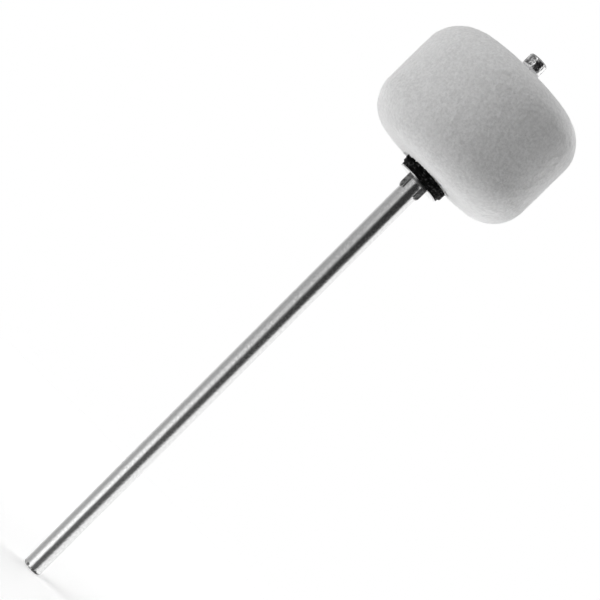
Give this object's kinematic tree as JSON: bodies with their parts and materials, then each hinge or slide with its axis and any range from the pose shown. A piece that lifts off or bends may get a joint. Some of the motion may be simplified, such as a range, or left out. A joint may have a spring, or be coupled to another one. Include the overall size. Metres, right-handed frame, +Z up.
{
  "type": "bass drum beater",
  "caption": "Felt bass drum beater: a plated steel shaft with swaged ears carries a round-shouldered felt head between washers, and its plain end clamps in a kick pedal's hub.",
  "frame": {"origin": "centre of the shaft's lower end face, the end that goes through the pedal's hub", "axes": "+Z up along the shaft towards the head, +X through the two swaged ears"},
  "size_m": [0.07, 0.07, 0.2648],
  "materials": {
    "plated_shaft": "polished",
    "washer_steel": "satin",
    "black_rubber": "matte",
    "black_fibre": "matte",
    "wool_felt": "matte",
    "spring_steel": "satin"
  },
  "bodies": {
    "shaft": {"shaft": "plated_shaft", "seat_washer": "washer_steel", "cushion_washer": "black_rubber", "fibre_washer": "black_fibre", "top_washer": "washer_steel", "lock_ring": "spring_steel"},
    "head": {"felt_head": "wool_felt"}
  },
  "joints": [
    {"name": "head_turn", "type": "hinge", "parent": "shaft", "child": "head", "pos_m": [0, 0, 0.2313], "axis": [0, 0, 1], "continuous": true}
  ]
}
